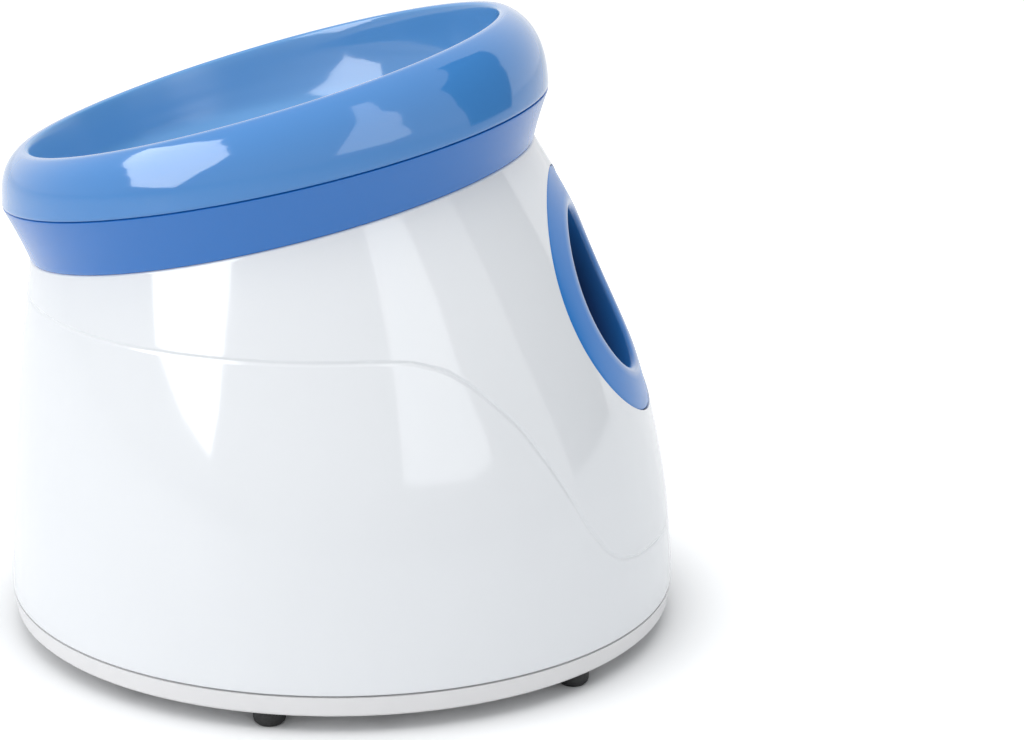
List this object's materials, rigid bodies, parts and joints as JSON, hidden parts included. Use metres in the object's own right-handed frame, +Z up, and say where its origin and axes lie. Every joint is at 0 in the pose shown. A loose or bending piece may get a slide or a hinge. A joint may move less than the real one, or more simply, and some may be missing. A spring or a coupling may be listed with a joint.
{
  "type": "automatic dog ball launcher",
  "caption": "Tabletop ball launcher: leaning white shell on a round base, tilted blue bowl feeding a throat, sloping port with a blue ring, and a wound hammer inside that throws the ball.",
  "frame": {"origin": "on the floor under the centre of the round base, at the bottom of the feet", "axes": "+Z up, +X the way the ball is thrown, +Y to the left of the throw"},
  "size_m": [0.2254, 0.2254, 0.2056],
  "materials": {
    "white_shell": "high gloss white",
    "white_tray": "satin white",
    "black_rubber": "soft matte",
    "blue_collar": "gloss blue",
    "blue_bowl": "high gloss blue",
    "blue_port": "gloss blue",
    "dark_chamber": "dark moulded plastic",
    "grey_frame": "grey moulded plastic",
    "steel": "plain steel",
    "screw_steel": "dark zinc",
    "arm_plastic": "moulded nylon",
    "gear_plastic": "natural acetal",
    "pinion_brass": "machined",
    "black_plastic": "black moulded plastic",
    "cell_wrap": "printed film over steel, left plain",
    "board_green": "solder mask",
    "button_blue": "gloss blue",
    "clear_pipe": "milky light pipe"
  },
  "bodies": {
    "case": {"outer_shell": "white_shell", "base_tray": "white_tray", "rubber_feet": "black_rubber", "hopper_collar": "blue_collar", "hopper_bowl": "blue_bowl", "port_bezel": "blue_port", "launch_chamber": "dark_chamber", "chassis_near": "grey_frame", "chassis_far": "grey_frame", "chassis_pillars": "steel", "hammer_spring": "steel", "stop_rod": "steel", "stop_bumper": "black_rubber", "gearbox_plate": "grey_frame", "gearbox_pillars": "steel", "motor_can": "steel", "motor_screws": "screw_steel", "gearbox_screws": "screw_steel", "chassis_screws": "screw_steel", "ball_switch": "black_plastic", "battery_box": "black_plastic", "battery_cells": "cell_wrap", "battery_contacts": "steel", "control_board": "board_green", "board_chips": "black_plastic", "button_switch": "black_plastic", "light_pipes": "clear_pipe", "dc_jack": "black_plastic", "speaker": "black_plastic", "collar_screws": "screw_steel", "tray_screws": "screw_steel", "board_screws": "screw_steel"},
    "hammer": {"hammer_arm": "arm_plastic", "hammer_pad": "black_rubber", "hammer_shaft": "steel", "hammer_gear": "gear_plastic"},
    "winding": {"winding_gear": "gear_plastic", "winding_wheel": "gear_plastic", "winding_shaft": "steel"},
    "reduction": {"reduction_gear": "gear_plastic", "reduction_shaft": "steel"},
    "rotor": {"motor_shaft": "steel", "motor_pinion": "pinion_brass"},
    "lever": {"switch_lever": "steel"},
    "button": {"power_button": "button_blue"},
    "door": {"battery_door": "white_tray", "door_screw": "screw_steel"}
  },
  "joints": [
    {"name": "hammer_swing", "type": "hinge", "parent": "case", "child": "hammer", "pos_m": [-0.06741, 0, 0.11025], "axis": [0, 1, 0], "range_deg": [0, 45], "stiffness_Nm_per_rad": 0.05, "springref_deg": -17.19},
    {"name": "winding_turn", "type": "hinge", "parent": "case", "child": "winding", "pos_m": [-0.04323, 0, 0.08143], "axis": [0, 1, 0], "range_deg": [-30.01, 0]},
    {"name": "reduction_turn", "type": "hinge", "parent": "case", "child": "reduction", "pos_m": [-0.01855, 0, 0.06415], "axis": [0, 1, 0], "range_deg": [0, 120.01]},
    {"name": "motor_turn", "type": "hinge", "parent": "case", "child": "rotor", "pos_m": [-0.0015, 0, 0.06716], "axis": [0, 1, 0], "range_deg": [-349.1, 0]},
    {"name": "lever_press", "type": "hinge", "parent": "case", "child": "lever", "pos_m": [-0.04307, 0, 0.113], "axis": [0, 1, 0], "range_deg": [0, 25], "stiffness_Nm_per_rad": 0.002, "springref_deg": -11.46},
    {"name": "button_press", "type": "slide", "parent": "case", "child": "button", "axis": [0.8655, -0.4946, -0.0795], "range_m": [0, 0.0012], "stiffness_N_per_m": 400, "springref_m": -0.001},
    {"name": "door_lift", "type": "slide", "parent": "case", "child": "door", "axis": [0, 0, -1], "range_m": [0, 0.02]}
  ],
  "couplings": [
    {"joint": "winding_turn", "follows": "hammer_swing", "ratio": -0.66667},
    {"joint": "reduction_turn", "follows": "hammer_swing", "ratio": 2.6667},
    {"joint": "motor_turn", "follows": "hammer_swing", "ratio": -7.7576}
  ]
}
